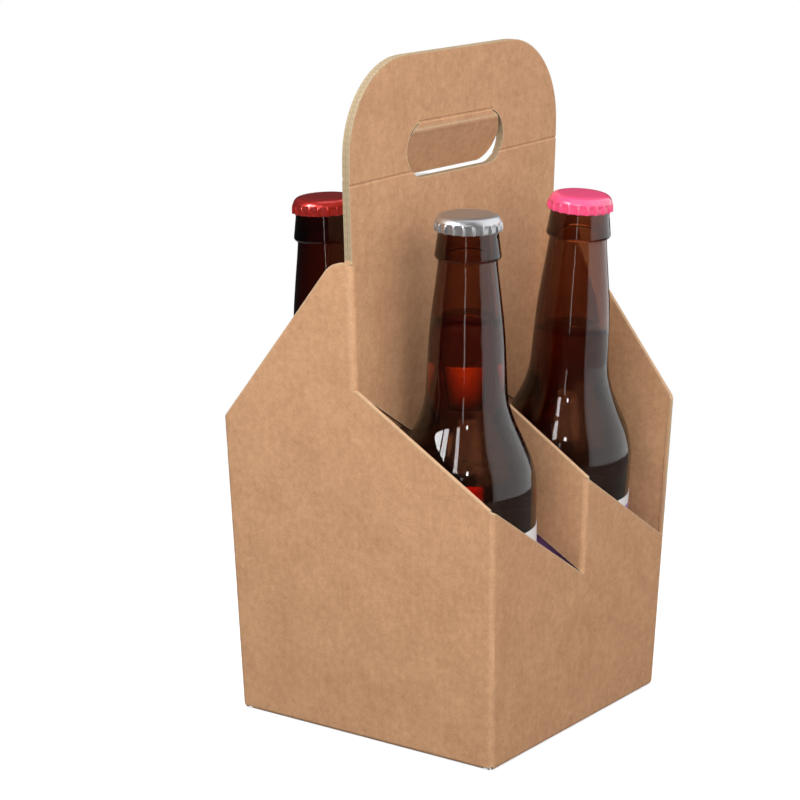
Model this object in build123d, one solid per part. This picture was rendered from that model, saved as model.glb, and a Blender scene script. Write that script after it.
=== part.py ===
"""Four-cell bottle carrier, folded from one sheet of corrugated board, with its four bottles.

X runs along the front wall, Y towards the back and Z up, from the middle of the floor's underside.
Lengths are in millimetres and angles in degrees. The carton is its own copy after half a turn about Z.
"""
import os
from math import acos, cos, degrees, hypot, pi, radians, sin, tan

from build123d import *

os.makedirs("parts", exist_ok=True)

# Board: the thickness of the sheet, its folds and its pressed fold lines
board = 1.8
fold_radius = 2.4
bottom_fold_radius = 1.9
score_width = 1.5
score_depth = 0.3
butt_gap = 0.4
overrun = 30.0

# Glass bottle: the stretches of its height from the foot to the lip, and its widths
bottle_diameter = 61.0
heel_radius = 5.0
foot_ring_width = 1.5
punt_height = 3.5
body_height = 108.0
shoulder_run = 45.0
neck_run = 15.5
mouth_run = 38.6
throat_run = 1.5
finish_run = 18.2
neck_low_radius = 17.3
neck_high_radius = 16.6
throat_radius = 12.6
collar_low_radius = 14.3
collar_high_radius = 12.6
collar_round = 1.4
lip_height = 5.6
lip_radius = 13.1
lip_round = 1.5
glass_wall = 3.0
beer_gap = 0.05
fill_shares = {"front_left": 0.813, "front_right": 0.742, "back_left": 0.78, "back_right": 0.78}

# Paper label round the body, between the heel and the shoulder
label_foot_room = 24.0
label_shoulder_room = 14.0
label_paper = 0.15
label_gap = 0.05

# Crown cap with its liner
cap_height = 7.1
cap_flat_radius = 11.6
cap_shoulder_drop = 1.0
cap_shoulder_radius = 13.2
cap_band_drop = 2.7
cap_band_radius = 13.8
tooth_tip_radius = 14.5
tooth_root_radius = 13.85
cap_sheet = 0.35
cap_liner = 0.5
cap_gap = 0.05
cap_teeth = 21

# How the bottles stand: free room to the walls and to each other, and the lean outwards that the shares scale
wall_gap_x = 2.1
wall_gap_y = 3.1
bottle_gap_x = 4.2
bottle_gap_y = 2.2
bottle_side_lean = 2.0
bottle_front_lean = 2.0
seat_gap = 0.1
bottle_places = {"front_left": (-1, -1), "front_right": (1, -1), "back_left": (-1, 1), "back_right": (1, 1)}
side_lean_shares = {"front_left": 0.7, "front_right": -0.55, "back_left": 0.95, "back_right": -0.3}
front_lean_shares = {"front_left": 0.55, "front_right": 2.04, "back_left": 1.03, "back_right": 0.7}
side_shift_shares = {"front_left": 0.67, "front_right": 0.97, "back_left": 0.15, "back_right": 0.14}
front_shift_shares = {"front_left": -0.57, "front_right": -0.64, "back_left": 0.11, "back_right": 0.45}

# Walls: outward lean, and where their cut edges run
side_lean = 2.75
front_lean = 1.65
rise_angle = 51.0
peak_round_run = 12.4
peak_round_rise = 4.5
side_cut_height = 156.2
cut_angle = 31.8
strip_front_height = 43.2
strip_handle_height = 48.3

# Handle with its hand hole and flap: its top, and how far it rises above the walls' peak
handle_height = 293.6
handle_rise = 83.1
handle_corner_radius = 39.0
hole_width = 73.0
hole_height = 23.7
hole_drop = 29.2
hole_shift = -1.5
hole_line_width = 56.0
knife_width = 0.5
fold_drop = 3.1
crease_rise = 3.8
crease_angle = 1.1
flap_gap = 0.6
flap_rest_angle = 20.0

# Floor flaps and the glued corner
slit_width = 1.2
lock_patch_side = 26.0
notch_run = 3.0
notch_rise = 1.2
glue_flap_width = 18.0
glue_flap_drop = 10.0

# Sizes that follow
bottle_radius = bottle_diameter / 2
foot_radius = bottle_radius - heel_radius
neck_low_height = body_height + shoulder_run
neck_high_height = neck_low_height + neck_run
throat_height = neck_high_height + mouth_run
collar_low_height = throat_height + throat_run
bottle_height = collar_low_height + finish_run
label_height = body_height - label_foot_room - label_shoulder_room
cap_top_height = bottle_height + cap_liner + cap_sheet
base_width = 2 * (bottle_diameter + wall_gap_x + board) + bottle_gap_x
base_depth = 2 * (bottle_diameter + wall_gap_y + board) + bottle_gap_y
side_slope = tan(radians(side_lean))
front_slope = tan(radians(front_lean))
cut_slope = tan(radians(cut_angle))
rise_slope = tan(radians(rise_angle))
peak_height = handle_height - handle_rise
hole_top = handle_height - hole_drop
hole_middle = hole_top - hole_height / 2
fold_height = hole_top - fold_drop
crease_height = hole_top - hole_height + crease_rise


def half_width(height):
    """Half the distance between the outer faces of the side walls at a height."""
    return base_width / 2 + height * side_slope


def half_depth(height):
    """Half the distance between the outer faces of the front and back walls at a height."""
    return base_depth / 2 + height * front_slope


def leaning_block(inset_x, inset_y, radius, low, high):
    """Solid between walls that lean outwards, set in from the carton's outer faces."""
    sections = []
    for height in (low, high):
        width = 2 * (half_width(height) - inset_x)
        depth = 2 * (half_depth(height) - inset_y)
        sections.append(Pos(0, 0, height) * RectangleRounded(width, depth, radius))
    return loft(sections, ruled=True)


def half_turned(solid):
    """The same solid after half a turn about Z."""
    return Rot(0, 0, 180) * solid


def fold_rounding(corner, lean_direction, height):
    """What a fold takes off a sharp outer corner: a square less a circle, drawn out along the fold."""
    x, y, z = corner
    square = Pos(x + fold_radius / 2, y + fold_radius / 2) * Rectangle(fold_radius, fold_radius)
    circle = Pos(x + fold_radius, y + fold_radius) * Circle(fold_radius)
    direction = Vector(*lean_direction)
    return extrude(Pos(0, 0, z) * (square - circle), amount=height * direction.length, dir=direction)


def tall_corner_height():
    """Height at which the rise of the left wall starts, at the back corner."""
    level = peak_height - peak_round_rise - rise_slope * (base_depth / 2 - peak_round_run)
    return level / (1 + rise_slope * front_slope)


def side_wall_waste():
    """What is cut away above the left wall: a slope in front of the handle, a rise behind it."""
    far = half_depth(peak_height) + overrun
    top = handle_height + overrun
    front_far_height = side_cut_height - cut_slope * (far - board)
    front_edge = [(-far, front_far_height), (-board, side_cut_height)]
    front = Polygon(*front_edge, (-board, top), (-far, top), align=None)
    round_start = (peak_round_run, peak_height - peak_round_rise)
    corner = half_depth(tall_corner_height())
    far_height = tall_corner_height() - rise_slope * (far - corner)
    rise = Line((far, far_height), round_start)
    crown = TangentArc(round_start, (board, peak_height), tangent=(-1, rise_slope))
    outer = Polyline((board, peak_height), (board, top), (far, top), (far, far_height))
    back = make_face(rise + crown + outer)
    reach = half_width(peak_height) + overrun
    waste = extrude(Plane.YZ.offset(-reach) * (front + back), amount=reach)
    inside = leaning_block(fold_radius, -2 * overrun, fold_radius, -overrun, top + overrun)
    return waste - inside


def front_corner_height():
    """Height at which the slope of the left wall reaches the rounding of the front corner."""
    level = side_cut_height - cut_slope * (base_depth / 2 - fold_radius - board)
    return level / (1 + cut_slope * front_slope)


def front_low_height():
    """Height of the front wall's slope where it meets the middle fold."""
    corner = front_corner_height()
    return corner - cut_slope * half_width(corner)


def front_wall_waste():
    """What is cut away above the front wall: two slopes, with the divider's fold as the step between."""
    corner = front_corner_height()
    low = front_low_height()
    high = low + strip_front_height
    far = half_width(peak_height) + overrun
    top = handle_height + overrun
    right_end = (base_width / 2 - fold_radius + high * side_slope) / (1 + cut_slope * side_slope)
    right_height = high - cut_slope * right_end
    outline = Polygon(
        (-far, corner + cut_slope * (far - half_width(corner))),
        (0, low),
        (0, high),
        (right_end, right_height),
        (half_width(top) - fold_radius, top),
        (-far, top),
        align=None,
    )
    reach = half_depth(peak_height) + overrun
    waste = extrude(Plane.XZ.offset(reach) * outline, amount=-reach)
    inside = leaning_block(-2 * overrun, fold_radius, fold_radius, -overrun, top + overrun)
    return waste - inside


def handle_low_height():
    """Height of the handle's lower edge where it meets the divider's fold."""
    return side_cut_height - cut_slope * half_width(side_cut_height)


def handle_leaf():
    """Front leaf of the handle, folded from the left wall, from its stepped lower edge to its round top."""
    low = handle_low_height()
    step = low + strip_handle_height
    inner_base = base_width / 2 - board - butt_gap
    right = (inner_base + step * side_slope) / (1 + cut_slope * side_slope)
    half = half_width(crease_height)
    shoulder = handle_height - handle_corner_radius
    flat = half - handle_corner_radius
    lower = Polyline(
        (-half, shoulder),
        (-half, crease_height),
        (-half_width(side_cut_height), side_cut_height),
        (0, low),
        (0, step),
        (right, step - cut_slope * right),
        (half_width(peak_height) - board - butt_gap, peak_height),
        (half_width(peak_height), peak_height),
        (half, crease_height),
        (half, shoulder),
    )
    right_arc = RadiusArc((half, shoulder), (flat, handle_height), -handle_corner_radius)
    crown = Line((flat, handle_height), (-flat, handle_height))
    left_arc = RadiusArc((-flat, handle_height), (-half, shoulder), -handle_corner_radius)
    leaf = extrude(Plane.XZ * make_face(lower + right_arc + crown + left_arc), amount=board)
    corner = (-half_width(side_cut_height), -board, side_cut_height)
    fold = fold_rounding(corner, (-side_slope, 0, 1), peak_height - side_cut_height)
    return leaf, fold


def divider_strip():
    """Strip that folds back from the middle of the front wall to the middle of the handle."""
    front_low = front_low_height()
    front_high = front_low + strip_front_height
    low = handle_low_height()
    outline = Polygon(
        (-half_depth(front_low), front_low),
        (0, low),
        (0, low + strip_handle_height),
        (-half_depth(front_high), front_high),
        align=None,
    )
    strip = extrude(Plane.YZ * outline, amount=board)
    corner = (0, -half_depth(front_low), front_low)
    fold = fold_rounding(corner, (0, -front_slope, 1), strip_front_height)
    return strip, fold


def glue_flap():
    """Flap glued inside the back wall at its right corner, below the wall's cut edge."""
    top = front_corner_height() - cut_slope * glue_flap_width - glue_flap_drop
    outer = leaning_block(board, board, fold_radius - board, board, top)
    inner = leaning_block(2 * board, 2 * board, fold_radius - board, board, top)
    right = half_width(top)
    window = Pos(right - (glue_flap_width + board) / 2, half_depth(top) / 2, top / 2)
    return (outer - inner) & window * Box(glue_flap_width + board, half_depth(top), top)


def floor_slits():
    """Cuts between the four floor flaps, from corner to corner."""
    length = 2 * (hypot(base_width, base_depth) / 2 + overrun)
    turn = degrees(acos(base_width / hypot(base_width, base_depth)))
    slit = Pos(0, 0, board / 2 - overrun / 2) * Box(length, slit_width, board + overrun)
    return Rot(0, 0, turn) * slit + Rot(0, 0, -turn) * slit


def score_bar(length):
    """Round bar that presses a shallow line into the handle's front face."""
    radius = (score_width**2 / 4 + score_depth**2) / (2 * score_depth)
    return Pos(0, score_depth - board - radius, 0) * Rot(0, 90, 0) * Cylinder(radius, length)


def handle_creases():
    """Pressed lines on both faces of the handle: one across it, a little askew, and one above the flap."""
    across = score_bar(2 * (half_width(crease_height) + overrun))
    across = Pos(0, 0, crease_height) * Rot(0, -crease_angle, 0) * across
    front_line = Pos(hole_shift, 0, hole_top) * score_bar(hole_line_width)
    back_line = half_turned(Pos(-hole_shift, 0, hole_top) * score_bar(hole_line_width))
    return across + half_turned(across) + front_line + back_line


def hole_slot(clearance, reach):
    """Slot with round ends that the hand hole's cut line follows, less a clearance all round."""
    slot = SlotOverall(hole_width - 2 * clearance, hole_height - 2 * clearance)
    return extrude(Pos(hole_shift, 0, hole_middle) * Rot(90, 0, 0) * slot, amount=reach, both=True)


def hand_hole(clearance, reach):
    """What the hand hole's cut line encloses below the flap's fold, less a clearance all round."""
    below = Pos(hole_shift, 0, fold_height - clearance - hole_height / 2)
    return hole_slot(clearance, reach) & below * Box(hole_width, 2 * reach, hole_height)


def knife_cuts():
    """Narrow cuts that go on from the hole's ends up to the pressed line above the flap."""
    line = hole_slot(0, overrun) - hole_slot(knife_width, overrun)
    ends = Box(hole_width, 2 * overrun, fold_drop) - Box(hole_line_width, 2 * overrun, fold_drop)
    return line & Pos(hole_shift, 0, hole_top - fold_drop / 2) * ends


def corner_notches():
    """Small steps in the bottom edges of the side walls, where the floor flaps end before the corners."""
    deep = 2 * fold_radius
    notch = Box(deep, notch_run, 2 * notch_rise)
    reach = base_depth / 2 - fold_radius - notch_run / 2
    return Pos(-base_width / 2, -reach, 0) * notch + Pos(-base_width / 2, reach, 0) * notch


def build_carton():
    """The folded sheet: walls, floor flaps, handle leaves, divider strips and glue flap in one solid."""
    block = leaning_block(0, 0, fold_radius, 0, peak_height)
    block = fillet(block.edges().group_by(Axis.Z)[0], bottom_fold_radius)
    cell_space = leaning_block(board, board, fold_radius - board, board, peak_height + overrun)
    waste = side_wall_waste() + front_wall_waste()
    walls = block - cell_space - waste - half_turned(waste)
    leaf, leaf_fold = handle_leaf()
    strip, strip_fold = divider_strip()
    folded = walls + leaf + half_turned(leaf) + strip + half_turned(strip)
    rounding = leaf_fold + strip_fold
    carton = folded - rounding - half_turned(rounding) - floor_slits()
    carton += Pos(0, 0, board + board / 2) * Box(lock_patch_side, lock_patch_side, board)
    carton += glue_flap()
    notches = corner_notches()
    carton = carton - notches - half_turned(notches)
    return carton - hand_hole(0, overrun) - knife_cuts() - handle_creases()


def build_hand_flap():
    """Two-ply tongue in the hand hole, pushed back a little about its fold."""
    hinge = Pos(0, board, fold_height)
    return hinge * Rot(flap_rest_angle, 0, 0) * Pos(0, -board, -fold_height) * hand_hole(flap_gap, board)


def neck_curves(inset, top_height):
    """Shoulder, neck and throat of the bottle, set in from its outer face, up to a height."""
    body = bottle_radius - inset
    low = neck_low_radius - inset
    high = neck_high_radius - inset
    throat = throat_radius - inset
    taper = (high - low, neck_high_height - neck_low_height)
    shoulder = Spline((body, body_height), (low, neck_low_height), tangents=((0, 1), taper))
    neck = Line((low, neck_low_height), (high, neck_high_height))
    chord = (throat - high, throat_height - neck_high_height)
    mouth = Spline((high, neck_high_height), (throat, throat_height), tangents=(taper, chord))
    return shoulder + neck + mouth + Line((throat, throat_height), (throat, top_height))


def turned(outline):
    """Solid of revolution about Z from a closed outline of radius and height."""
    return revolve(Plane.XZ * make_face(outline), Axis.Z)


def bottle_bore(inset):
    """The bottle's inside, set in from its outer face, up to the lip."""
    radius = bottle_radius - inset
    floor = punt_height + inset
    foot = Line((0, floor), (radius - heel_radius, floor))
    heel = RadiusArc((radius - heel_radius, floor), (radius, floor + heel_radius), -heel_radius)
    side = Line((radius, floor + heel_radius), (radius, body_height))
    lid = Polyline((throat_radius - inset, bottle_height), (0, bottle_height), (0, floor))
    return turned(foot + heel + side + neck_curves(inset, bottle_height) + lid)


def build_glass():
    """Hollow bottle with a pushed-up foot, a tapered collar below the cap and a round lip."""
    ring = foot_radius - foot_ring_width
    punt_radius = (ring**2 + punt_height**2) / (2 * punt_height)
    punt = RadiusArc((0, punt_height), (ring, 0), punt_radius)
    foot = Line((ring, 0), (foot_radius, 0))
    heel = RadiusArc((foot_radius, 0), (bottle_radius, heel_radius), -heel_radius)
    side = Line((bottle_radius, heel_radius), (bottle_radius, body_height))
    lid = Polyline((throat_radius, collar_low_height), (0, collar_low_height), (0, punt_height))
    outer = turned(punt + foot + heel + side + neck_curves(0, collar_low_height) + lid)
    collar_height = finish_run - lip_height
    collar = Cone(collar_low_radius, collar_high_radius, collar_height)
    collar = fillet(collar.edges().group_by(Axis.Z)[0], collar_round)
    collar = Pos(0, 0, collar_low_height + collar_height / 2) * collar
    lip = Pos(0, 0, bottle_height - lip_height / 2) * Cylinder(lip_radius, lip_height)
    lip = fillet(lip.edges(), lip_round)
    return outer + collar + lip - bottle_bore(glass_wall)


def build_beer(place):
    """What a bottle holds, up to its own level in the neck."""
    level = fill_shares[place] * bottle_height
    below = Pos(0, 0, level / 2) * Box(bottle_diameter, bottle_diameter, level)
    return bottle_bore(glass_wall + beer_gap) & below


def build_label():
    """Paper band round the body."""
    inner = bottle_radius + label_gap
    band = Cylinder(inner + label_paper, label_height) - Cylinder(inner, label_height)
    return Pos(0, 0, label_foot_room + label_height / 2) * band


def tooth_ring(tip, root, drop):
    """Closed outline with a tip and a root for each tooth of the crown cap, below its top."""
    points = []
    for step in range(2 * cap_teeth):
        angle = pi * step / cap_teeth
        radius = root if step % 2 else tip
        points.append((radius * cos(angle), radius * sin(angle)))
    return Pos(0, 0, cap_top_height - drop) * Polygon(*points, align=None)


def crown_form(inset):
    """Outer form of the crown cap, or its inside when it is set in by the sheet's thickness."""
    band = cap_band_radius - inset
    shoulder = cap_shoulder_radius - inset
    flat = cap_flat_radius - inset
    rings = [
        tooth_ring(tooth_tip_radius - inset, tooth_root_radius - inset, cap_height),
        tooth_ring(band, band, cap_band_drop),
        tooth_ring(shoulder, shoulder, cap_shoulder_drop),
        tooth_ring(flat, flat, inset),
    ]
    return loft(rings, ruled=True)


def build_cap():
    """Crown cap: a thin steel cup with a crimped skirt."""
    return crown_form(0) - crown_form(cap_sheet)


def build_liner():
    """Sealing disc between the lip and the cap."""
    height = cap_liner - 2 * cap_gap
    disc = Cylinder(cap_flat_radius - 2 * cap_sheet, height)
    return Pos(0, 0, bottle_height + cap_liner / 2) * disc


def bottle_location(place):
    """Where a bottle stands in the free room of its cell, leaning on the heel that rests on the floor."""
    side_x, side_y = bottle_places[place]
    lean_x = side_x * tan(radians(side_lean_shares[place] * bottle_side_lean))
    lean_y = side_y * tan(radians(front_lean_shares[place] * bottle_front_lean))
    tilt = acos(1 / hypot(1, lean_x, lean_y))
    shift_x = side_shift_shares[place] * wall_gap_x
    shift_y = front_shift_shares[place] * wall_gap_y
    origin = (
        side_x * ((bottle_diameter + bottle_gap_x) / 2 + shift_x),
        side_y * ((bottle_diameter + bottle_gap_y) / 2 + shift_y),
        board + seat_gap + foot_radius * sin(tilt),
    )
    return Plane(origin=origin, x_dir=(1, 0, -lean_x), z_dir=(lean_x, lean_y, 1)).location


def save(solid, node):
    """Write one node as a STEP file."""
    solid.label = node
    export_step(solid, f"parts/{node}.step")
    print(node, "volume", round(solid.volume, 1))


save(build_carton(), "carton")
save(build_hand_flap(), "hand_flap")
bottle_pieces = {
    "glass": build_glass(),
    "label": build_label(),
    "cap": build_cap(),
    "cap_liner": build_liner(),
}
for place in bottle_places:
    stand = bottle_location(place)
    save(stand * build_beer(place), f"{place}_beer")
    for piece, solid in bottle_pieces.items():
        save(stand * solid, f"{place}_{piece}")
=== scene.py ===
# %% [markdown]
# # A folded bottle carrier, dressed for a photograph
# The carrier is one sheet of brown corrugated board, folded and glued, with four capped bottles in its cells.
# Its exact solids come from a CAD file. This lesson loads them as a fixed frame, gives every surface a
# procedural finish, remakes what should look softer than CAD (beer, crown caps, the bent hand flap),
# and ends with light and a camera.

# %% Load the solids
from math import atan2, cos, hypot, pi, radians, sin, tan

import bmesh
import bpy
from mathutils import Matrix, Vector


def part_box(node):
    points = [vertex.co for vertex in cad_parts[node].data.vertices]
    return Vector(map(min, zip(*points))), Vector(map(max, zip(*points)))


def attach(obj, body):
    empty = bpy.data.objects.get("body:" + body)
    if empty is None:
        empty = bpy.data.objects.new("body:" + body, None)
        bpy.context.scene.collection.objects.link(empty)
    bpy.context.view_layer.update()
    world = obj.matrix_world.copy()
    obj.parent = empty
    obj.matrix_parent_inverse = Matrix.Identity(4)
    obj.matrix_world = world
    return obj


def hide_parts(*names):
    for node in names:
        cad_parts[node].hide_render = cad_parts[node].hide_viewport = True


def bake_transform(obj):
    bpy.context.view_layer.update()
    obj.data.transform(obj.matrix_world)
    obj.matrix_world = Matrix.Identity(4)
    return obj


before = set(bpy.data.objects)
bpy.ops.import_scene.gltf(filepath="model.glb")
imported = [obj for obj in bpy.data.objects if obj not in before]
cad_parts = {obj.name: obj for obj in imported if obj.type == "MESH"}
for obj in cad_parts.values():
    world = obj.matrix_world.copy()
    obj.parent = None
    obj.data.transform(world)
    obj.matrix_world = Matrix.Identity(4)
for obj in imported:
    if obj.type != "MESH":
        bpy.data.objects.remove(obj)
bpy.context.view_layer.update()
mm = 0.001
bottle_places = ("front_left", "front_right", "back_left", "back_right")
print("loaded", len(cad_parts), "nodes")

# %% [markdown]
# ## Shader maths as Python sums
# A procedural finish is a graph of small nodes. Wiring them one by one hides the idea, so a small class
# stands for one output socket and turns Python's operators into Math nodes. Another class holds the
# material and makes every other kind of node through a single method.

# %% Wires and finishes


class Wire:
    """One output socket of a finish; sums of wires and numbers add Math nodes."""

    def __init__(self, finish, socket):
        self.finish = finish
        self.socket = socket

    def math(self, operation, *others):
        return self.finish.node("ShaderNodeMath", {"operation": operation}, dict(enumerate((self, *others))))

    def __add__(self, other):
        return self.math("ADD", other)

    __radd__ = __add__

    def __mul__(self, other):
        return self.math("MULTIPLY", other)

    __rmul__ = __mul__

    def __sub__(self, other):
        return self.math("SUBTRACT", other)

    def __rsub__(self, other):
        return self * -1 + other

    def __pow__(self, other):
        return self.math("POWER", other)

    def __abs__(self):
        return self.math("ABSOLUTE")

    def __gt__(self, other):
        return self.math("GREATER_THAN", other)


class Finish:
    """A material; its nodes come from one method."""

    def __init__(self, name):
        self.material = bpy.data.materials.new(name)
        self.material.use_nodes = True
        self.tree = self.material.node_tree
        self.shader = self.tree.nodes["Principled BSDF"]
        self.output = self.tree.nodes["Material Output"]

    def plug(self, socket, value):
        if isinstance(value, Wire):
            self.tree.links.new(value.socket, socket)
        else:
            socket.default_value = value

    def node(self, kind, settings=None, inputs=None, output=0):
        made = self.tree.nodes.new(kind)
        for key, value in (settings or {}).items():
            setattr(made, key, value)
        for key, value in (inputs or {}).items():
            self.plug(made.inputs[key], value)
        return Wire(self, made.outputs[output])

    def shade(self, **sockets):
        for key, value in sockets.items():
            self.plug(self.shader.inputs[key.replace("_", " ")], value)

    def mix(self, share, first, second):
        return self.node("ShaderNodeMix", {"data_type": "RGBA"}, {0: share, 6: first, 7: second}, output=2)

    def noise(self, place, scale, detail=3.0):
        return self.node("ShaderNodeTexNoise", None, {"Vector": place, "Scale": scale, "Detail": detail})

    def fade(self, value, near, far):
        inputs = {"Value": value, "From Min": near, "From Max": far, "To Min": 1.0, "To Max": 0.0}
        return self.node("ShaderNodeMapRange", {"interpolation_type": "SMOOTHSTEP"}, inputs)

    def bump(self, height, distance, strength=1.0):
        return self.node("ShaderNodeBump", None, {"Height": height, "Distance": distance, "Strength": strength})

    def object_place(self):
        return self.node("ShaderNodeTexCoord", output="Object")

    def split(self, vector):
        first = self.node("ShaderNodeSeparateXYZ", None, {0: vector})
        return [Wire(self, socket) for socket in first.socket.node.outputs]


def dress(node, finish):
    """Give a CAD node one finish in place of what it came with."""
    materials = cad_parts[node].data.materials
    materials.clear()
    materials.append(finish.material)


print("finish tools ready")

# %% [markdown]
# ## Kraft board
# Brown kraft liner is matte, with cloudy mottling and fine fibres, and the fluted core shows through as faint
# upright ribs. Die-cut edges are crushed and paler. The folds are paler too, partly because the liner is
# stretched there and partly from a painted highlight where the rounded fold catches the light. The folds lie
# where two walls meet, so simple distances in object space find them. An inside occlusion probe, which only
# looks a millimetre into the board, finds every cut edge at once. The rims of the handle and the hand hole are
# two plies thick, and there the seam and the open flutes between the liners are darkened with painted shade.

# %% Where the board is folded
base_side = 134 * mm
side_slope = tan(radians(2.75))
front_slope = tan(radians(1.65))
flute_pitch = 3.3 * mm
fold_core = 0.3 * mm
fold_reach = 3.0 * mm
edge_reach = 1.3 * mm
handle_foot = 156 * mm
divider_span = (70.2 * mm, 113.4 * mm)
ply = 1.8 * mm
rim_foot = 212 * mm


def fold_wear_and_highlight_mask(finish, x, y, z):
    """1 along the corners, the handle's fold, the divider's fold and the bottom edges, fading to 0: paler
    stretched liner plus a painted highlight.
    """
    side = abs(x) - (z * side_slope + base_side / 2)
    front = abs(y) - (z * front_slope + base_side / 2)
    corner = finish.fade((side * side + front * front) ** 0.5, fold_core, fold_reach)
    handle = finish.fade((side * side + y * y) ** 0.5, fold_core, fold_reach) * (z > handle_foot)
    divider = finish.fade((front * front + x * x) ** 0.5, fold_core, fold_reach)
    divider = divider * (z > divider_span[0]) * (1 - (z > divider_span[1]))
    bottom = finish.fade(z, 0.6 * mm, fold_reach)
    return corner.math("MAXIMUM", handle).math("MAXIMUM", divider).math("MAXIMUM", bottom)


def rim_mask(y, z, normal_y):
    """1 on the cut rims of the two-ply handle above the walls, 0 elsewhere."""
    return (z > rim_foot) * (1 - (abs(y) > ply * 1.2)) * (1 - (abs(normal_y) > 0.5))


def flute_and_seam_shade(finish, along, y):
    """1 where shade is painted: in the hollows between the liners of each ply and in the seam between the plies.
    """
    seam = finish.fade(abs(y), 0.08 * mm, 0.3 * mm)
    core = finish.fade(abs(abs(y) - ply / 2), 0.25 * mm, 0.5 * mm)
    hollows = (along * (2 * pi / flute_pitch)).math("SINE") * 0.5 + 0.5
    return (core * hollows * 0.5).math("MAXIMUM", seam * 0.8)


print("folds fade over", round(fold_reach / mm, 1), "mm, with flutes", round(flute_pitch / mm, 1), "mm apart")

# %% Kraft board finish
kraft_dark = (0.345, 0.167, 0.080, 1)
kraft_light = (0.645, 0.370, 0.204, 1)
# Pale fold colour: partly stretched liner, partly a painted highlight on the rounded folds.
kraft_worn_and_highlight = (0.66, 0.43, 0.27, 1)
kraft_cut = (0.54, 0.395, 0.25, 1)
kraft_rim = (0.35, 0.27, 0.168, 1)
# Dark colour painted as shade into the open flutes and the seam between the plies.
kraft_hollow_shade = (0.23, 0.15, 0.085, 1)
cloud_scale, blotch_scale, fibre_scale, streak_scale = 60.0, 330.0, 1300.0, 420.0
tone_shift = 0.435


def kraft_board():
    finish = Finish("kraft_board")
    place = finish.object_place()
    x, y, z = finish.split(place)
    normal = finish.node("ShaderNodeTexCoord", output="Normal")
    normal_x, normal_y, _ = finish.split(normal)
    streaked = finish.node("ShaderNodeMapping", None, {"Vector": place, "Scale": (1.0, 1.0, 0.12)})
    clouds = finish.noise(place, cloud_scale, 3.0)
    blotches = finish.noise(place, blotch_scale, 5.0)
    fibres = finish.noise(place, fibre_scale, 3.0)
    streaks = finish.noise(streaked, streak_scale, 2.0)
    faces_side = abs(normal_x) > abs(normal_y)
    across = faces_side * y + (1 - faces_side) * x
    ribs = (across * (2 * pi / flute_pitch)).math("SINE") * 0.5 + 0.5
    tone = clouds * 0.45 + blotches * 0.66 + fibres * 0.64 + streaks * 0.1 + ribs * 0.02 - tone_shift
    board = finish.mix(tone, kraft_dark, kraft_light)
    # Folds: paler stretched liner plus a painted highlight where the rounded folds catch the light.
    folds = fold_wear_and_highlight_mask(finish, x, y, z) * (0.02 + fibres * 0.26)
    board = finish.mix(folds, board, kraft_worn_and_highlight)
    probe = {"samples": 8, "inside": True, "only_local": True}
    edges = 1 - finish.node("ShaderNodeAmbientOcclusion", probe, {"Distance": edge_reach}, output="AO")
    # Along the cut edges the flutes alternate paler and darker: the darker hollows are painted shade.
    flutes = ((x + y) * (2 * pi / flute_pitch)).math("SINE") * 0.12
    board = finish.mix(finish.fade(edges + flutes * edges, 0.62, 0.1), board, kraft_cut)
    # Painted shade in the open flutes and the seam along the two-ply rims.
    rims = finish.mix(flute_and_seam_shade(finish, x + z, y), kraft_rim, kraft_hollow_shade)
    board = finish.mix(rim_mask(y, z, normal_y), board, rims)
    grain = fibres * 0.6 + blotches * 0.45 + streaks * 0.1 + ribs * 0.2
    finish.shade(Base_Color=board, Roughness=0.78 + fibres * 0.14, Specular_IOR_Level=0.25)
    finish.shade(Normal=finish.bump(grain, 0.06 * mm, 0.8))
    return finish


kraft = kraft_board()
dress("carton", kraft)
print("kraft board on the carton,", len(kraft.tree.nodes), "nodes")

# %% [markdown]
# ## Hand flap
# The tongue in the hand hole is two plies of the same board, bent back at its fold. The CAD flap is a stiff
# plate with a gap at its hinge. Here it is remade as one outline, cut across in narrow rows below the fold
# and rolled back row by row, so that the board bends like board.

# %% Outline of the flap
fold_height = 261.3 * mm
hole_top = 264.4 * mm
hole_width = 73 * mm
hole_height = 23.7 * mm
hole_shift = -1.5 * mm
flap_gap = 0.5 * mm
bend_run = 1.4 * mm
bend_rows = 8
tiny = 1e-7
rest_angle = radians(20)


def flap_outline():
    """A flat slot with round ends, cut off at the fold, with rows across the bend."""
    bm = bmesh.new()
    radius = hole_height / 2 - flap_gap
    middle = hole_top - hole_height / 2
    bmesh.ops.create_circle(bm, cap_ends=True, segments=64, radius=radius)
    for vert in bm.verts:
        reach = vert.co.x + (hole_width - hole_height) / 2 * (1 if vert.co.x > 0 else -1)
        vert.co = Vector((hole_shift + reach, -ply, middle + vert.co.y))
    for row in range(bend_rows + 1):
        height = fold_height - bend_run * row / bend_rows
        geometry = bm.verts[:] + bm.edges[:] + bm.faces[:]
        cut = {"plane_co": (0, 0, height), "plane_no": (0, 0, 1), "clear_outer": row == 0}
        bmesh.ops.bisect_plane(bm, geom=geometry, dist=tiny, **cut)
    return bm


print("flap outline", round(hole_width / mm, 1), "by", round(hole_height / mm, 1), "mm")

# %% Bend the flap back


def finished_mesh(name, bm):
    """Turn a bmesh into a mesh and free it."""
    mesh = bpy.data.meshes.new(name)
    bm.to_mesh(mesh)
    bm.free()
    return mesh


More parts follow.
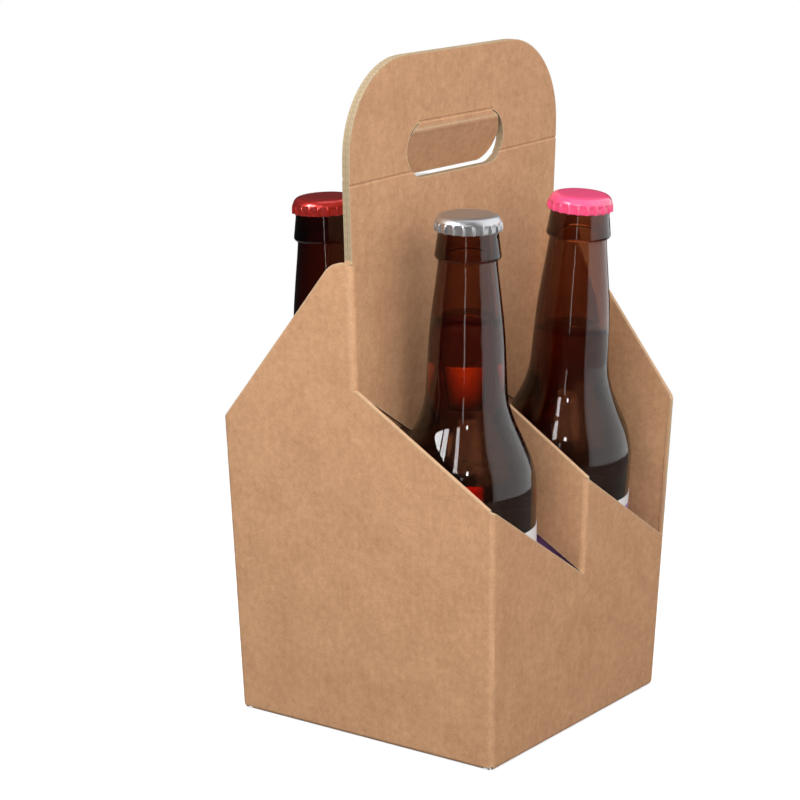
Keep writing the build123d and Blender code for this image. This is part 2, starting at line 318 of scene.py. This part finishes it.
def bent_flap():
    bm = flap_outline()
    plies = bmesh.ops.extrude_face_region(bm, geom=bm.faces[:])
    back = [item for item in plies["geom"] if isinstance(item, bmesh.types.BMVert)]
    bmesh.ops.translate(bm, verts=back, vec=(0, 2 * ply, 0))
    bmesh.ops.recalc_face_normals(bm, faces=bm.faces)
    hinge = Vector((0, ply, fold_height))
    for vert in bm.verts:
        share = min(max((fold_height - vert.co.z) / bend_run, 0), 1)
        bend = Matrix.Rotation(rest_angle * share * share * (3 - 2 * share), 3, "X")
        vert.co = hinge + bend @ (vert.co - hinge)
    return finished_mesh("bent_hand_flap", bm)


def add_piece(name, mesh, finish):
    """Link a finished mesh as an object at the origin."""
    piece = bpy.data.objects.new(name, mesh)
    bpy.context.scene.collection.objects.link(piece)
    mesh.materials.append(finish.material)
    return piece


flap = add_piece("bent_hand_flap", bent_flap(), kraft)
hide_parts("hand_flap")
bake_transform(flap)
print("hand flap with", len(flap.data.polygons), "faces")

# %% [markdown]
# ## Amber glass
# The bottles are dark brown glass. Its colour comes from what the glass swallows on the way through, so a
# volume absorption does that: thick places turn nearly black and thin edges stay honey brown. The surface is
# smooth, with a slight waviness that makes reflections swim. The bottle at the back left is of a darker glass
# than the others, so it gets a denser copy of the same finish.

# %% Glass finish
glass_colour = (0.62, 0.355, 0.135, 1)
glass_density = 770.0
dark_glass_density = 1600.0
glass_ior = 1.52


def absorb(finish, colour, density):
    """Colour by distance through the piece."""
    volume = finish.node("ShaderNodeVolumeAbsorption", None, {"Color": colour, "Density": density})
    finish.plug(finish.output.inputs["Volume"], volume)


def amber_glass(name, density):
    finish = Finish(name)
    place = finish.object_place()
    waves = finish.noise(place, 55.0, 1.0)
    dust = finish.noise(place, 240.0, 4.0)
    finish.shade(Base_Color=(1, 1, 1, 1), Transmission_Weight=1.0, IOR=glass_ior, Roughness=dust * 0.05)
    finish.shade(Normal=finish.bump(waves, 0.25 * mm, 0.25))
    absorb(finish, glass_colour, density)
    return finish


brown_glass = amber_glass("brown_glass", glass_density)
dark_glass = amber_glass("dark_brown_glass", dark_glass_density)
for place in bottle_places:
    dress(f"{place}_glass", dark_glass if place == "back_left" else brown_glass)
print("brown glass on", len(bottle_places), "bottles")

# %% [markdown]
# ## Beer
# In CAD the beer stops a hair short of the glass, because two solids may not overlap. Light would see that
# as a film of air and turn it into a mirror. A liquid mesh for rendering should bite slightly into the glass
# instead, so each one is a merged copy that is pushed out along its normals.

# %% Beer that wets the glass
beer_bite = 0.15 * mm
beer_colour = (0.88, 0.45, 0.05, 1)
beer_density = 190.0
beer_ior = 1.34


def dark_beer():
    finish = Finish("dark_beer")
    place = finish.object_place()
    haze = finish.noise(place, 120.0, 2.0)
    finish.shade(Base_Color=(1, 1, 1, 1), Transmission_Weight=1.0, IOR=beer_ior, Roughness=haze * 0.02)
    absorb(finish, beer_colour, beer_density)
    return finish


def grown_copy(node, name, growth):
    """A merged copy of a CAD node, pushed out along its normals."""
    bm = bmesh.new()
    bm.from_mesh(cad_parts[node].data)
    bmesh.ops.remove_doubles(bm, verts=bm.verts, dist=tiny)
    bm.normal_update()
    for vert in bm.verts:
        vert.co += vert.normal * growth
    mesh = finished_mesh(name, bm)
    mesh.shade_smooth()
    return mesh


beer = dark_beer()
for place in bottle_places:
    mesh = grown_copy(f"{place}_beer", f"{place}_fill", beer_bite)
    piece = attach(add_piece(f"{place}_fill", mesh, beer), "pack")
    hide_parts(f"{place}_beer")
    print(piece.name, "with", len(mesh.polygons), "faces")

# %% [markdown]
# ## Where each bottle stands
# The bottles lean a little in their cells. The label band and the cap's liner are both round about the bottle's
# axis, so the line through the middles of their boxes is that axis. A matrix from it places the caps and
# turns the label's pattern.

# %% Bottle axes


def middle_of(node):
    low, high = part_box(node)
    return (low + high) / 2


def bottle_stand(place):
    """Turn and place of a bottle, with its origin in the middle of the cap's liner."""
    origin = middle_of(f"{place}_cap_liner")
    axis = origin - middle_of(f"{place}_label")
    return Matrix.Translation(origin) @ axis.to_track_quat("Z", "Y").to_matrix().to_4x4()


stands = {place: bottle_stand(place) for place in bottle_places}
for place, stand in stands.items():
    lean = stand.to_3x3().col[2].angle(Vector((0, 0, 1)))
    print(place, "leans", round(lean * 180 / pi, 2), "degrees")

# %% [markdown]
# ## Labels
# Only the tops of the labels show above the board. They are coated paper: a white margin over a plain violet
# field. A Mapping node in texture mode undoes the bottle's lean, so that the margin runs level round the body.

# %% Label paper
label_white = (0.80, 0.79, 0.82, 1)
label_violet = (0.36, 0.17, 0.46, 1)
label_fleck = (0.5, 0.45, 0.5, 1)
label_top = -133.05 * mm
margins = {"front_left": 17 * mm, "front_right": 4.5 * mm, "back_left": 9 * mm, "back_right": 9 * mm}


def label_paper(place):
    finish = Finish(f"{place}_label_paper")
    stand = stands[place]
    turned = {"Location": stand.translation, "Rotation": stand.to_euler()}
    coordinates = finish.object_place()
    local = finish.node("ShaderNodeMapping", {"vector_type": "TEXTURE"}, {"Vector": coordinates, **turned})
    _, _, height = finish.split(local)
    fibres = finish.noise(local, 800.0, 4.0)
    drop = label_top - height
    field = 1 - finish.fade(drop, margins[place], margins[place] + 0.2 * mm)
    paper = finish.mix(field, label_white, label_violet)
    paper = finish.mix(fibres * 0.16, paper, label_fleck)
    finish.shade(Base_Color=paper, Roughness=0.34 + fibres * 0.2, Coat_Weight=0.25)
    finish.shade(Normal=finish.bump(fibres, 0.02 * mm, 0.5))
    return finish


for place in bottle_places:
    dress(f"{place}_label", label_paper(place))
print("labels with margins of", [round(margin / mm, 1) for margin in margins.values()], "mm")

# %% [markdown]
# ## Crown caps
# A crown cap is a disc of thin steel, drawn down and crimped into 21 teeth: narrow ridges with hollows
# between them. A profile is spun into a coarse cup with eight columns a tooth. Every eighth is pushed out
# as a ridge, more towards the rim. Solidify gives the sheet its thickness and Subdivision Surface rounds the
# crimps, as a press would.

# %% One crimped cup
cap_teeth = 21
crown_profile = ((0, 0), (6, 0), (10.4, -0.05), (12.2, -0.5), (13.2, -1.6))
skirt_profile = ((13.7, -2.6), (13.72, -3.2), (13.46, -4.1), (13.42, -5.6), (13.35, -7.1))
crimp_start = -3.0
crimp_run = 1.4
crimp_depth = 1.5
crimp_columns = 8
cap_rise = 0.6 * mm


def crimped_cup():
    """A cap about its own axis, with its top at height 0, in metres."""
    bm = bmesh.new()
    line = [bm.verts.new((radius, 0, height)) for radius, height in crown_profile + skirt_profile]
    edges = [bm.edges.new(pair) for pair in zip(line, line[1:])]
    around = {"cent": (0, 0, 0), "axis": (0, 0, 1), "angle": 2 * pi, "steps": crimp_columns * cap_teeth}
    bmesh.ops.spin(bm, geom=line + edges, use_merge=True, **around)
    bmesh.ops.remove_doubles(bm, verts=bm.verts, dist=0.001)
    bmesh.ops.recalc_face_normals(bm, faces=bm.faces)
    for vert in bm.verts:
        share = min(max((crimp_start - vert.co.z) / crimp_run, 0), 1)
        ridge = max(cos(cap_teeth * atan2(vert.co.y, vert.co.x)), 0) ** 4
        push = 1 + crimp_depth * share * ridge / max(hypot(vert.co.x, vert.co.y), 1)
        vert.co.x *= push
        vert.co.y *= push
    bmesh.ops.scale(bm, vec=(mm, mm, mm), verts=bm.verts)
    return bm


print("cups of", cap_teeth, "teeth,", crimp_columns, "columns each")

# %% [markdown]
# ## Cap lacquer
# Crown caps are printed tinplate: bare metal for the silver one, a clear tint over metal for the red one and an
# opaque colour for the pink one. One finish covers them all, with the share of metal, the roughness and the
# clear coat as its settings. Fine speckle and a faint orange peel break up the highlights.
# The cap at the back right isn't seen in the photograph, so its pale finish is a guess.

# %% Cap finishes


def cap_lacquer(name, colour, metallic, roughness, coat):
    """Lacquer on tinplate, slightly brushed and speckled."""
    finish = Finish(name)
    place = finish.object_place()
    speckle = finish.noise(place, 1500.0, 2.0)
    peel = finish.noise(place, 420.0, 2.0)
    shade = tuple(0.78 * channel for channel in colour[:3]) + (1,)
    finish.shade(Base_Color=finish.mix(speckle, shade, colour), Metallic=metallic, Coat_Weight=coat)
    finish.shade(Roughness=roughness + speckle * 0.12, Coat_Roughness=0.05)
    finish.shade(Normal=finish.bump(peel, 0.012 * mm, 0.4))
    return finish


silver = cap_lacquer("silver_cap", (0.66, 0.66, 0.68, 1), metallic=1.0, roughness=0.34, coat=0.0)
pink = cap_lacquer("pink_cap", (0.92, 0.078, 0.212, 1), metallic=0.0, roughness=0.26, coat=0.8)
red = cap_lacquer("red_cap", (0.66, 0.040, 0.034, 1), metallic=0.7, roughness=0.24, coat=0.8)
pale = cap_lacquer("pale_silver_cap", (0.86, 0.86, 0.87, 1), metallic=0.25, roughness=0.40, coat=0.2)
cap_finishes = dict(zip(bottle_places, (silver, pink, red, pale)))
print("cap finishes", [finish.material.name for finish in cap_finishes.values()])

# %% Press the caps on
cap_sheet = 0.3 * mm
cap_levels = 2


def finish_sheet(piece, thickness, levels):
    """Live modifiers that give a thin pressed sheet its thickness and its soft bends."""
    sheet = piece.modifiers.new("sheet", "SOLIDIFY")
    sheet.thickness = thickness
    sheet.offset = -1
    soft = piece.modifiers.new("soft", "SUBSURF")
    soft.levels = levels
    soft.render_levels = levels


for place in bottle_places:
    bm = crimped_cup()
    bmesh.ops.transform(bm, matrix=stands[place] @ Matrix.Translation((0, 0, cap_rise)), verts=bm.verts)
    mesh = finished_mesh(f"{place}_crown", bm)
    mesh.shade_smooth()
    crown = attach(add_piece(f"{place}_crown", mesh, cap_finishes[place]), "pack")
    finish_sheet(crown, cap_sheet, cap_levels)
    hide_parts(f"{place}_cap")
    print(crown.name, "with", len(mesh.polygons), "faces")

# %% [markdown]
# ## Cap liners
# Under each cap lies a disc of soft off-white plastic that seals the lip. It hardly shows, so a matte finish
# with a few flecks is enough, and the CAD disc keeps its shape.

# %% Liner discs
liner_dark = (0.70, 0.70, 0.67, 1)
liner_light = (0.84, 0.84, 0.81, 1)


def liner_plastic():
    finish = Finish("cap_liner")
    flecks = finish.noise(finish.object_place(), 600.0)
    finish.shade(Base_Color=finish.mix(flecks, liner_dark, liner_light), Roughness=0.6)
    return finish


liner = liner_plastic()
for place in bottle_places:
    dress(f"{place}_cap_liner", liner)
print("liners under the caps")

# %% [markdown]
# ## Floor and white surroundings
# The photograph stands on plain white. The world shows white to the camera, to reflections and through the
# glass, but gives diffuse light at a plain level. The floor is a disc that fades to the same white, and close
# to the carrier it still takes a soft shadow.

# %% World
ambient_level = 0.20


class Surroundings(Finish):
    """The world, wired in the same way as a material."""

    def __init__(self, name):
        world = bpy.data.worlds.new(name)
        bpy.context.scene.world = world
        world.use_nodes = True
        self.tree = world.node_tree
        self.background = self.tree.nodes["Background"]


def white_world():
    room = Surroundings("white_room")
    camera_ray = room.node("ShaderNodeLightPath", output="Is Camera Ray")
    glossy_ray = room.node("ShaderNodeLightPath", output="Is Glossy Ray")
    clear_ray = room.node("ShaderNodeLightPath", output="Is Transmission Ray")
    shown = camera_ray.math("MAXIMUM", glossy_ray).math("MAXIMUM", clear_ray)
    room.plug(room.background.inputs["Color"], (1, 1, 1, 1))
    room.plug(room.background.inputs["Strength"], shown * (1 - ambient_level) + ambient_level)


white_world()
print("world at", ambient_level, "for diffuse light")

# %% Floor
floor_radius = 0.6
floor_level = -0.2 * mm
floor_grey = (0.5, 0.5, 0.5, 1)
floor_bounce = (0.17, 0.155, 0.14, 1)
shadow_reach = (0.16, 0.45)
shadow_lift = 0.62


def floor_paper():
    """White to the camera and through glass, with the carrier's shadow near the middle; grey to other light."""
    finish = Finish("floor_paper")
    x, y, _ = finish.split(finish.object_place())
    near = finish.fade((x * x + y * y) ** 0.5, *shadow_reach)
    lit = finish.node("ShaderNodeBsdfDiffuse", None, {"Color": floor_grey})
    glow = finish.node("ShaderNodeEmission", None, {"Strength": shadow_lift})
    shadowed = finish.node("ShaderNodeAddShader", None, {0: lit, 1: glow})
    white = finish.node("ShaderNodeEmission", None, {"Strength": 1.0})
    camera = finish.node("ShaderNodeMixShader", None, {0: near, 1: white, 2: shadowed})
    bounce = finish.node("ShaderNodeBsdfDiffuse", None, {"Color": floor_bounce})
    camera_ray = finish.node("ShaderNodeLightPath", output="Is Camera Ray")
    clear_ray = finish.node("ShaderNodeLightPath", output="Is Transmission Ray")
    shown = camera_ray.math("MAXIMUM", clear_ray)
    surface = finish.node("ShaderNodeMixShader", None, {0: shown, 1: bounce, 2: camera})
    finish.plug(finish.output.inputs["Surface"], surface)
    return finish


def white_floor():
    bm = bmesh.new()
    bmesh.ops.create_circle(bm, cap_ends=True, segments=96, radius=floor_radius)
    bmesh.ops.translate(bm, verts=bm.verts, vec=(0, 0, floor_level))
    mesh = finished_mesh("floor", bm)
    floor = bpy.data.objects.new("floor", mesh)
    bpy.context.scene.collection.objects.link(floor)
    mesh.materials.append(floor_paper().material)


white_floor()
print("floor disc of", floor_radius, "m")

# %% [markdown]
# ## Camera
# The camera was solved from the carrier's straight edges in the photograph: how far it is turned and tipped,
# how far it stands and how long its lens is. The picture was cropped, so the lens is shifted a little too.

# %% Camera from the photograph
image_side = 800
turn, tip, roll = 0.96943, 0.23028, 0.00747
camera_distance = 1.14594
target = Vector((0, 0, 0.15))
focal_pixels = 2597.86
centre_offset = (53.25, 27.13)


def photo_camera():
    back = Vector((-sin(turn) * cos(tip), -cos(turn) * cos(tip), sin(tip)))
    right = Vector((cos(turn), -sin(turn), 0))
    up = back.cross(right)
    rolled_right = right * cos(roll) + up * sin(roll)
    rolled_up = up * cos(roll) - right * sin(roll)
    pose = Matrix((rolled_right, rolled_up, back)).transposed().to_4x4()
    pose.translation = target + back * camera_distance
    data = bpy.data.cameras.new("camera")
    data.sensor_width = 36
    data.lens = focal_pixels / image_side * data.sensor_width
    data.shift_x = -centre_offset[0] / image_side
    data.shift_y = -centre_offset[1] / image_side
    camera = bpy.data.objects.new("camera", data)
    camera.matrix_world = pose
    bpy.context.scene.collection.objects.link(camera)
    bpy.context.scene.camera = camera
    return camera


camera = photo_camera()
print("camera at", [round(value, 3) for value in camera.location])

# %% [markdown]
# ## Light
# Soft light comes from high on the left and from the front, with a broad fill behind. Large area lamps give
# soft shadows like a studio's soft boxes. Glossy rays don't see the lamps, because the next cell gives the
# glass something better to mirror.

# %% Soft boxes


def soft_box(name, position, aim, size, watts, colour=(1, 1, 1)):
    data = bpy.data.lights.new(name, "AREA")
    data.shape = "RECTANGLE"
    data.size, data.size_y = size
    data.energy = watts
    data.color = colour
    box = bpy.data.objects.new(name, data)
    box.location = position
    box.rotation_euler = (Vector(aim) - Vector(position)).to_track_quat("-Z", "Y").to_euler()
    box.visible_glossy = False
    bpy.context.scene.collection.objects.link(box)


handle_aim, middle_aim = (0, 0, 0.22), (0, 0, 0.16)
cool_white = (0.94, 0.98, 1.0)
soft_box("key_box", (-0.60, -0.46, 0.88), handle_aim, size=(1.1, 1.1), watts=12.6)
soft_box("window_box", (-0.56, 0.13, 0.66), (-0.07, 0, 0.24), size=(0.4, 0.4), watts=4.1, colour=cool_white)
soft_box("front_box", (-0.10, -0.95, 0.60), middle_aim, size=(1.3, 0.9), watts=6.2)
soft_box("back_box", (0.75, 0.75, 0.80), middle_aim, size=(1.1, 1.1), watts=12)
print("four soft boxes")

# %% [markdown]
# ## Something for the glass to mirror
# Dark glass shows little but reflections: here a broad pale card on the right, a small bright window on the left
# and a dark room behind the camera. Each card is an upright edge, spun part of the way round the carrier. The
# cards are only seen in reflections, so they shape the glass and don't change the light on the board.

# %% Cards for the glass to mirror
glass_middle = Vector((0, -0.03, 0.18))
card_step = radians(15)


def stage_card(name, bm, finish, hidden_from):
    """Link a glowing card that isn't part of the carrier, and hide it from some kinds of rays."""
    mesh = finished_mesh(name, bm)
    mesh.materials.append(finish.material)
    card = bpy.data.objects.new(name, mesh)
    for ray in hidden_from:
        setattr(card, f"visible_{ray}", False)
    bpy.context.scene.collection.objects.link(card)


def set_glow(finish, strength, colour=(1, 1, 1, 1)):
    """Make a finish give light instead of taking it."""
    glow = finish.node("ShaderNodeEmission", None, {"Color": colour, "Strength": strength})
    finish.plug(finish.output.inputs["Surface"], glow)


def mirror_card(name, angles, rises, distance, strength):
    """A curved card seen only in reflections, between two angles to the right of the camera and two rises."""
    bm = bmesh.new()
    heading = 3 * pi / 2 - turn + radians(angles[0])
    ends = [Vector((cos(heading), sin(heading), tan(radians(rise)))) for rise in rises]
    edge = bm.edges.new([bm.verts.new(glass_middle + end * distance) for end in ends])
    sweep = radians(angles[1] - angles[0])
    steps = 1 + round(sweep / card_step)
    around = {"cent": glass_middle, "axis": (0, 0, 1), "angle": sweep, "steps": steps}
    bmesh.ops.spin(bm, geom=[*edge.verts, edge], **around)
    finish = Finish(name)
    set_glow(finish, strength)
    stage_card(name, bm, finish, ("camera", "diffuse", "transmission", "shadow"))


mirror_card("pale_wall", angles=(48, 150), rises=(-13, 60), distance=1.5, strength=1.4)
mirror_card("window", angles=(-74, -57), rises=(19, 42), distance=1.4, strength=16.0)
mirror_card("window_pane", angles=(-54, -43), rises=(19, 42), distance=1.4, strength=13.0)
mirror_card("door_gap", angles=(-23, -16), rises=(19, 30), distance=1.4, strength=10.0)
mirror_card("bright_line", angles=(-10, -7), rises=(-12, 16), distance=1.4, strength=3.0)
mirror_card("flash", angles=(0, 3.5), rises=(18, 22), distance=1.4, strength=30.0)
mirror_card("dark_room", angles=(-210, 43), rises=(-35, 70), distance=1.9, strength=0.03)
print("seven cards for reflections")

# %% [markdown]
# ## A glow in the beer
# Dark beer only glows where light comes through it, so a photographer may hide a small bright card behind the
# bottle. Two such slips stand behind the front left bottle and only show through glass. They imitate the glow
# in the photograph, whose real cause isn't known. Amber swallows green and blue first, so the slips are a
# greenish white, and what comes through is a red orange.

# %% Slips that make the beer glow
slip_colour = (0.7, 1.0, 0.3, 1)


def glow_slip(name, place, drop, behind, aside, size, strength):
    """A small slip behind a bottle, at a drop below its cap: brightest at its top, only seen through glass."""
    away = Vector((sin(turn), cos(turn), 0))
    right = Vector((cos(turn), -sin(turn), 0))
    middle = stands[place] @ Vector((0, 0, -drop)) + away * behind + right * aside
    bm = bmesh.new()
    bmesh.ops.create_grid(bm, x_segments=1, y_segments=1, size=0.5)
    spread = Matrix((right * size[0], Vector((0, 0, size[1])), -away)).transposed().to_4x4()
    bmesh.ops.transform(bm, matrix=Matrix.Translation(middle) @ spread, verts=bm.verts)
    finish = Finish(name)
    x, _, z = finish.split(finish.node("ShaderNodeTexCoord", output="Generated"))
    set_glow(finish, strength, finish.mix(x * (1 - x) * z * 4, (0, 0, 0, 1), slip_colour))
    stage_card(name, bm, finish, ("camera", "diffuse", "glossy", "shadow"))


neck_slip = {"drop": 79 * mm, "behind": 22 * mm, "aside": 0, "size": (6 * mm, 20 * mm), "strength": 5.6}
body_slip = {"drop": 134 * mm, "behind": 33 * mm, "aside": 1 * mm, "size": (6 * mm, 14 * mm), "strength": 12.0}
glow_slip("neck_slip", "front_left", **neck_slip)
glow_slip("body_slip", "front_left", **body_slip)
print("two slips behind the front left bottle")

# %% [markdown]
# ## View transform
# Last comes the plain view transform.

# %% View transform
bpy.context.scene.view_settings.view_transform = "Standard"
